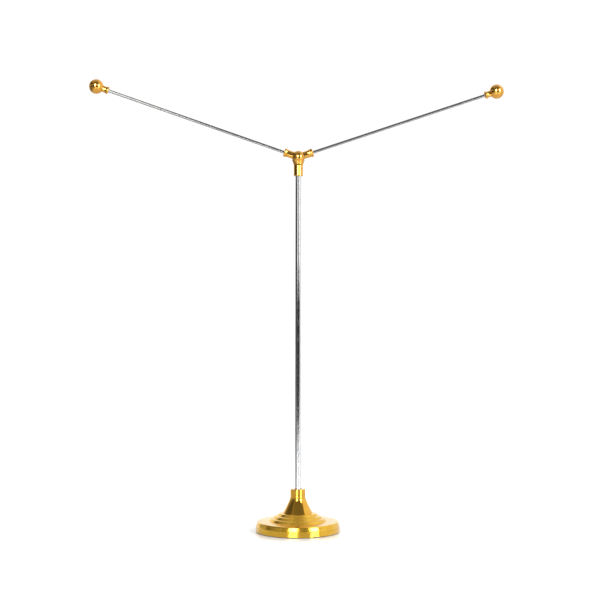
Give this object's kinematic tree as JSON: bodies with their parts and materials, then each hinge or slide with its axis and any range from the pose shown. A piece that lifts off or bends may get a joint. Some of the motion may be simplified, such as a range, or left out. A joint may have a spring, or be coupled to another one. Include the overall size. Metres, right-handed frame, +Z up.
{
  "type": "two-arm table flag stand",
  "caption": "Weighted round base with a slim upright and a Y head whose thin rising arms end in screw-on balls.",
  "frame": {"origin": "centre of the base's resting face", "axes": "+Z up along the upright; the arms lie in the XZ plane, the left arm towards -X; -Y is the front"},
  "size_m": [0.3968, 0.08, 0.4282],
  "materials": {
    "pad_felt": "dense wool felt, trimmed edge",
    "weight_iron": "as cast, thin black paint",
    "base_gold": "spun, polished and lacquered, fine turning lines",
    "neck_gold": "turned and polished",
    "fitting_gold": "turned and mirror polished",
    "ball_gold": "mirror polished",
    "pole_chrome": "bright plated, faint drawing lines",
    "arm_chrome": "bright plated",
    "fastener_steel": "zinc plated",
    "stud_steel": "turned, plain"
  },
  "bodies": {
    "base": {"foot_pad": "pad_felt", "base_weight": "weight_iron", "base_dish": "base_gold", "neck_cone": "neck_gold", "base_washer": "fastener_steel", "base_spring_washer": "fastener_steel", "base_nut": "fastener_steel", "pole_tube": "pole_chrome", "pole_foot_stud": "stud_steel", "pole_head_stud": "stud_steel"},
    "head_socket": {"pole_socket": "fitting_gold"},
    "head": {"hub_ball": "fitting_gold"},
    "left_root_collar": {"left_hub_collar": "fitting_gold"},
    "left_arm": {"left_arm": "arm_chrome"},
    "left_tip_collar": {"left_finial_collar": "ball_gold"},
    "left_ball": {"left_finial_ball": "ball_gold"},
    "right_root_collar": {"right_hub_collar": "fitting_gold"},
    "right_arm": {"right_arm": "arm_chrome"},
    "right_tip_collar": {"right_finial_collar": "ball_gold"},
    "right_ball": {"right_finial_ball": "ball_gold"}
  },
  "joints": [
    {"name": "head_lift", "type": "slide", "parent": "base", "child": "head_socket", "axis": [0, 0, 1], "range_m": [0, 0.0071]},
    {"name": "head_screw", "type": "hinge", "parent": "head_socket", "child": "head", "pos_m": [0, 0, 0.356], "axis": [0, 0, 1], "range_deg": [0, 3600]},
    {"name": "left_arm_travel", "type": "slide", "parent": "head", "child": "left_root_collar", "axis": [-0.9466, 0, 0.3223], "range_m": [0, 0.006]},
    {"name": "left_arm_turn", "type": "hinge", "parent": "left_root_collar", "child": "left_arm", "pos_m": [0, 0, 0.356], "axis": [-0.9466, 0, 0.3223], "range_deg": [0, 4330]},
    {"name": "left_ball_travel", "type": "slide", "parent": "left_arm", "child": "left_tip_collar", "axis": [-0.9466, 0, 0.3223], "range_m": [0, 0.007]},
    {"name": "left_ball_turn", "type": "hinge", "parent": "left_tip_collar", "child": "left_ball", "pos_m": [-0.19141, 0, 0.42116], "axis": [-0.9466, 0, 0.3223], "range_deg": [0, 5050]},
    {"name": "right_arm_travel", "type": "slide", "parent": "head", "child": "right_root_collar", "axis": [0.9466, 0, 0.3223], "range_m": [0, 0.006]},
    {"name": "right_arm_turn", "type": "hinge", "parent": "right_root_collar", "child": "right_arm", "pos_m": [0, 0, 0.356], "axis": [0.9466, 0, 0.3223], "range_deg": [0, 4330]},
    {"name": "right_ball_travel", "type": "slide", "parent": "right_arm", "child": "right_tip_collar", "axis": [0.9466, 0, 0.3223], "range_m": [0, 0.007]},
    {"name": "right_ball_turn", "type": "hinge", "parent": "right_tip_collar", "child": "right_ball", "pos_m": [0.19141, 0, 0.42116], "axis": [0.9466, 0, 0.3223], "range_deg": [0, 5050]}
  ],
  "couplings": [
    {"joint": "head_lift", "follows": "head_screw", "m_per_rad": 0.00011141},
    {"joint": "left_arm_turn", "follows": "left_arm_travel", "rad_per_m": 12566},
    {"joint": "left_ball_turn", "follows": "left_ball_travel", "rad_per_m": 12566},
    {"joint": "right_arm_turn", "follows": "right_arm_travel", "rad_per_m": 12566},
    {"joint": "right_ball_turn", "follows": "right_ball_travel", "rad_per_m": 12566}
  ]
}
